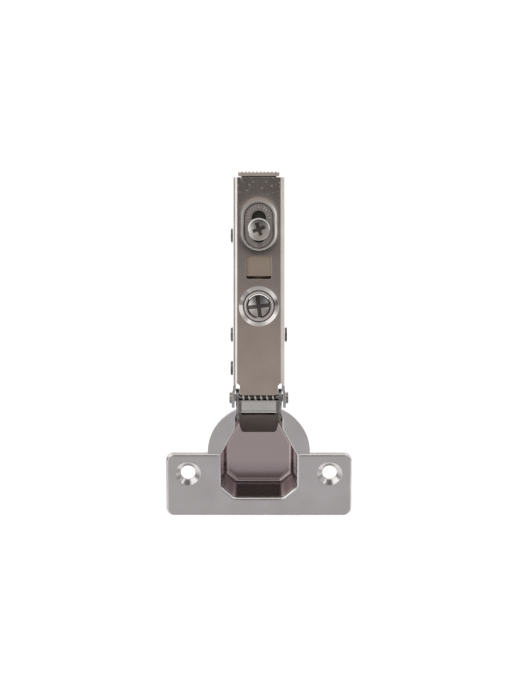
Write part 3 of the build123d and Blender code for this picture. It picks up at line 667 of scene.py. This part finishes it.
fan_size = add_node(
    ribs_tree, "ShaderNodeCombineXYZ",
    {"X": size["Fan rib length"], "Y": size["Rib height"], "Z": size["Rib width"]},
)
fan = add_node(
    ribs_tree, "GeometryNodeInstanceOnPoints",
    {"Points": places.outputs["Points"], "Instance": rib.outputs["Mesh"],
     "Rotation": places.outputs["Rotation"], "Scale": fan_size.outputs["Vector"]},
)
fan_centre = add_node(
    ribs_tree, "ShaderNodeCombineXYZ", {"Y": size["Fan centre"], "Z": size["Floor"]}
)
fan_there = add_node(
    ribs_tree, "GeometryNodeTransform",
    {"Geometry": fan.outputs["Instances"], "Translation": fan_centre.outputs["Vector"]},
)
print("Fan of", rib_sizes["Fan ribs"], "ribs")

# %% Rib tree: the cross ribs
start = add_node(
    ribs_tree, "ShaderNodeCombineXYZ", {"Y": size["First cross rib"], "Z": size["Floor"]}
)
step = add_node(ribs_tree, "ShaderNodeCombineXYZ", {"Y": size["Cross rib step"]})
line = add_node(
    ribs_tree, "GeometryNodeMeshLine",
    {"Count": size["Cross ribs"], "Start Location": start.outputs["Vector"],
     "Offset": step.outputs["Vector"]},
)
index = add_node(ribs_tree, "GeometryNodeInputIndex")
half_length = add_node(
    ribs_tree, "ShaderNodeMapRange",
    {"Value": index.outputs["Index"], "From Max": size["Cross ribs"],
     "To Min": size["Shortest cross rib"], "To Max": size["Longest cross rib"]},
)
cross_size = add_node(
    ribs_tree, "ShaderNodeCombineXYZ",
    {"X": half_length.outputs["Result"], "Y": size["Rib width"], "Z": size["Rib height"]},
)
cross = add_node(
    ribs_tree, "GeometryNodeInstanceOnPoints",
    {"Points": line.outputs["Mesh"], "Instance": rib.outputs["Mesh"],
     "Scale": cross_size.outputs["Vector"]},
)
all_ribs = add_node(ribs_tree, "GeometryNodeJoinGeometry")
for ribs in (fan_there.outputs["Geometry"], cross.outputs["Instances"]):
    ribs_tree.links.new(ribs, all_ribs.inputs["Geometry"])
rib_steel = plated_steel("coined_rib_plate", "#c9c4c0", "#8a8582", 0.2, cloud=1.2)
finish_tree(ribs_tree, all_ribs.outputs["Geometry"], rib_steel)
print("Nodes in the rib tree:", len(ribs_tree.nodes))

# %% Ribs on the arm
recess_ribs = run_tree(ribs_tree, "recess_ribs", rib_sizes, rib_steel)
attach(recess_ribs, "arm")
print("Ribs:", len(recess_ribs.data.polygons), "faces")

# %% [markdown]
# ## The side screw's thread
# The side screw is threaded into the arm's collar, and the thread shows in the gap round it and
# from below. A thread is one profile swept along a helix, which Geometry Nodes have as a Spiral
# curve and Curve to Mesh. The profile has three corners, so the ridge is sharp.

# %% Thread tree
thread_turns = 2.6
thread_pitch = 0.75
thread_sizes = {
    "Screw radius": mm(3.76),  # just inside the screw, so that only the ridge stands out
    "Turns": thread_turns,
    "Length": mm(thread_pitch * thread_turns),
    "Ridge": mm(0.13),
    "Screw place": mm(side_middle.y),
    "Thread foot": mm(8.62),
}
thread_tree, size = new_tree("screw_thread", thread_sizes)
helix = add_node(
    thread_tree, "GeometryNodeCurveSpiral",
    {"Resolution": 48, "Rotations": size["Turns"], "Start Radius": size["Screw radius"],
     "End Radius": size["Screw radius"], "Height": size["Length"]},
)
profile = add_node(
    thread_tree, "GeometryNodeCurvePrimitiveCircle", {"Resolution": 3, "Radius": size["Ridge"]}
)
ridge = add_node(
    thread_tree, "GeometryNodeCurveToMesh",
    {"Curve": helix.outputs["Curve"], "Profile Curve": profile.outputs["Curve"],
     "Fill Caps": True},
)
foot = add_node(
    thread_tree, "ShaderNodeCombineXYZ", {"Y": size["Screw place"], "Z": size["Thread foot"]}
)
there = add_node(
    thread_tree, "GeometryNodeTransform",
    {"Geometry": ridge.outputs["Mesh"], "Translation": foot.outputs["Vector"]},
)
finish_tree(thread_tree, there.outputs["Geometry"], screw_steel)
print("Thread:", thread_turns, "turns of", thread_pitch, "mm")

# %% Thread on the side screw
side_thread = run_tree(thread_tree, "side_screw_thread", thread_sizes, screw_steel)
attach(side_thread, "side_screw")
print("Thread's mesh:", len(side_thread.data.polygons), "faces")

# %% [markdown]
# ## The studio
# Bright metal shows its surroundings more than itself, so the studio is half of the finish. A flat
# face shows one small patch of the studio, a bend sweeps across all of it. The tones are placed by
# the direction in which each face looks once it mirrors the camera:
#
# - the arm's web looks straight up, where a warm ceiling in front meets a dark one behind
# - the cup leans forward and looks at a pale front wall
# - the bends at the sides sweep across a wide bright box on the left and two narrow ones on the
#   right
# - every edge that turns to the rear picks up a long box there
#
# Lamps could do this one by one. A sky of colour ramps does it in one place. One ramp runs from
# front to rear. Another runs from left to right and takes over away from the middle, dimmed in
# front by a third ramp.

# %% Tones of the sky
sky_power = 2.0
front_to_rear = [
    (-1.0, "#1c1b1a", 1.0), (-0.96, "#262524", 1.0), (-0.92, "#d4d3d4", 1.0),
    (-0.85, "#d8d7d8", 1.0), (-0.64, "#c7c5c8", 1.0), (-0.3, "#b8b4b4", 1.0),
    (-0.08, "#b9afaa", 1.0), (-0.02, "#c1b4ac", 1.0), (0.005, "#b9aca6", 1.0),
    (0.034, "#807a7a", 1.0), (0.06, "#5a5756", 1.0), (0.38, "#454242", 1.0),
    (0.47, "#ffffff", 1.3), (0.8, "#ffffff", 1.3), (1.0, "#8c8a88", 1.0),
]
left_to_right = [
    (-1.0, "#9c9a99", 1.0), (-0.9, "#c8c6c8", 1.0), (-0.8, "#ffffff", 1.5),
    (-0.12, "#ffffff", 1.5), (0.0, "#8c8683", 1.0), (0.12, "#d9d6da", 1.0),
    (0.38, "#c6c3c7", 1.0), (0.44, "#ffffff", 1.5), (0.52, "#ffffff", 1.5),
    (0.58, "#d0cdd1", 1.0), (0.76, "#d9d6da", 1.0), (0.85, "#ffffff", 1.2),
    (0.95, "#ffffff", 1.2), (1.0, "#a8a6a5", 1.0),
]
side_power = [
    (-1.0, "#e0e0e0", 1.0), (-0.36, "#e0e0e0", 1.0), (-0.26, "#a4a4a4", 1.0),
    (-0.07, "#a4a4a4", 1.0), (-0.03, "#ffffff", 1.0), (1.0, "#ffffff", 1.0),
]
print("Sky stops:", len(front_to_rear) + len(left_to_right) + len(side_power))

# %% World and ramps
world = bpy.data.worlds.new("studio")
bpy.context.scene.world = world
world.use_nodes = True
sky = world.node_tree
sky.nodes.clear()
direction = add_node(sky, "ShaderNodeTexCoord").outputs["Generated"]
split = add_node(sky, "ShaderNodeSeparateXYZ", {"Vector": direction}).outputs


def sky_ramp(axis, stops, full=sky_power):
    """A colour ramp along one axis of direction, from -1 to 1.

    Each stop is its place, tone and power. The ramp holds no power above `full`.
    """
    share = add_node(
        sky, "ShaderNodeMapRange", {"Value": split[axis], "From Min": -1.0, "From Max": 1.0}
    )
    node = add_node(sky, "ShaderNodeValToRGB", {"Fac": share.outputs["Result"]})
    elements = node.color_ramp.elements
    for place, tone, power in stops[1:-1]:
        elements.new((place + 1) / 2)
    for element, (place, tone, power) in zip(elements, stops):
        element.color = [channel * power / full for channel in linear(tone)[:3]] + [1.0]
    return node.outputs["Color"]


print("Sky ramps run from -1 to 1 and hold a power of up to", sky_power)

# %% Sky put together
middle_width = 0.1  # half the strip overhead that the front-to-rear ramp keeps
middle_spread = 0.6  # how fast that strip widens to the front and the rear
side_from = 0.5  # the sides come in at this many such widths from the middle
side_full = 1.4  # and have taken over here
first, second, result = mix_sockets["RGBA"]
sideways = add_node(sky, "ShaderNodeMath", {0: split["X"]}, operation="ABSOLUTE")
lengthways = add_node(sky, "ShaderNodeMath", {0: split["Y"]}, operation="ABSOLUTE")
middle = add_node(
    sky, "ShaderNodeMath", {0: lengthways.outputs["Value"], 1: middle_spread, 2: middle_width},
    operation="MULTIPLY_ADD",
)
widths = add_node(
    sky, "ShaderNodeMath", {0: sideways.outputs["Value"], 1: middle.outputs["Value"]},
    operation="DIVIDE",
)
side_share = add_node(
    sky, "ShaderNodeMapRange",
    {"Value": widths.outputs["Value"], "From Min": side_from, "From Max": side_full},
)
sides = add_node(
    sky, "ShaderNodeMix",
    {0: 1.0, first: sky_ramp("X", left_to_right), second: sky_ramp("Y", side_power, full=1.0)},
    data_type="RGBA", blend_type="MULTIPLY",
)
studio = add_node(
    sky, "ShaderNodeMix",
    {0: side_share.outputs["Result"], first: sky_ramp("Y", front_to_rear),
     second: sides.outputs[result]},
    data_type="RGBA",
)
glow = add_node(
    sky, "ShaderNodeBackground", {"Color": studio.outputs[result], "Strength": sky_power}
)
add_node(sky, "ShaderNodeOutputWorld", {"Surface": glow.outputs["Background"]})
bpy.context.scene.view_settings.view_transform = "Standard"
print("Sky nodes:", len(sky.nodes))

# %% [markdown]
# ## The light table
# Such a part is photographed on a table of opal acrylic that is lit from below: the ground comes
# out white right up to the steel, and the hinge throws hardly any shadow. A bright lamp over white
# paper would burn out the steel before the paper turns white, so the table glows by itself. It
# stands 25 mm below the hinge, which keeps it clear of the hinge in every position. From below it
# is see-through, so that the underside of the hinge can be looked at too.

# %% Table
table_gap = mm(25.0)
floor_z = cad_box[0][2] - table_gap
floor_half = 3.0
floor_mesh = bpy.data.meshes.new("light_table")
floor_mesh.from_pydata(
    [(-floor_half, -floor_half, floor_z), (floor_half, -floor_half, floor_z),
     (floor_half, floor_half, floor_z), (-floor_half, floor_half, floor_z)],
    [],
    [(0, 1, 2, 3)],
)
floor = bpy.data.objects.new("light_table", floor_mesh)
bpy.context.collection.objects.link(floor)
opal, opal_tree, opal_shader = new_material("opal_light_table")
opal_shader.inputs["Base Color"].default_value = linear("#dcdcdc")
opal_shader.inputs["Roughness"].default_value = 0.6
opal_shader.inputs["Emission Color"].default_value = linear("#ffffff")
opal_shader.inputs["Emission Strength"].default_value = 0.6
behind = add_node(opal_tree, "ShaderNodeNewGeometry").outputs["Backfacing"]
clear = add_node(opal_tree, "ShaderNodeBsdfTransparent").outputs["BSDF"]
one_way = add_node(
    opal_tree, "ShaderNodeMixShader", {0: behind, 1: opal_shader.outputs["BSDF"], 2: clear}
)
opal_output = next(node for node in opal_tree.nodes if node.type == "OUTPUT_MATERIAL")
opal_tree.links.new(one_way.outputs["Shader"], opal_output.inputs["Surface"])
floor_mesh.materials.append(opal)
print("Table at", round(floor_z * 1000, 2), "mm")

# %% [markdown]
# ## The camera
# The photograph looks straight down on the arm. One length is known in it: the wing holes are
# 48 mm apart and 142.4 pixels, so a pixel is about a third of a millimetre. The lens follows from
# the camera's height: seen from there, 688 such pixels have to fill the frame from top to bottom.

# %% Camera
frame_width = 516
frame_height = 688
pixels_per_mm = 2.97
arm_centre_x = 258.8  # the arm's middle and the front pivot, in pixels of the photograph
pivot_row = 397.3
camera_height = 0.9
sensor = 36.0
metres_per_pixel = mm(1) / pixels_per_mm
camera_data = bpy.data.cameras.new("camera")
camera_data.sensor_fit = "VERTICAL"
camera_data.sensor_height = sensor
camera_data.lens = sensor * camera_height / (frame_height * metres_per_pixel)
camera = bpy.data.objects.new("camera", camera_data)
camera.location = (
    (frame_width / 2 - arm_centre_x) * metres_per_pixel,
    front_pivot.y + (pivot_row - frame_height / 2) * metres_per_pixel,
    camera_height,
)
camera.rotation_euler = (0.0, 0.0, 0.0)
bpy.context.collection.objects.link(camera)
bpy.context.scene.camera = camera
print("Lens", round(camera_data.lens, 1), "mm")
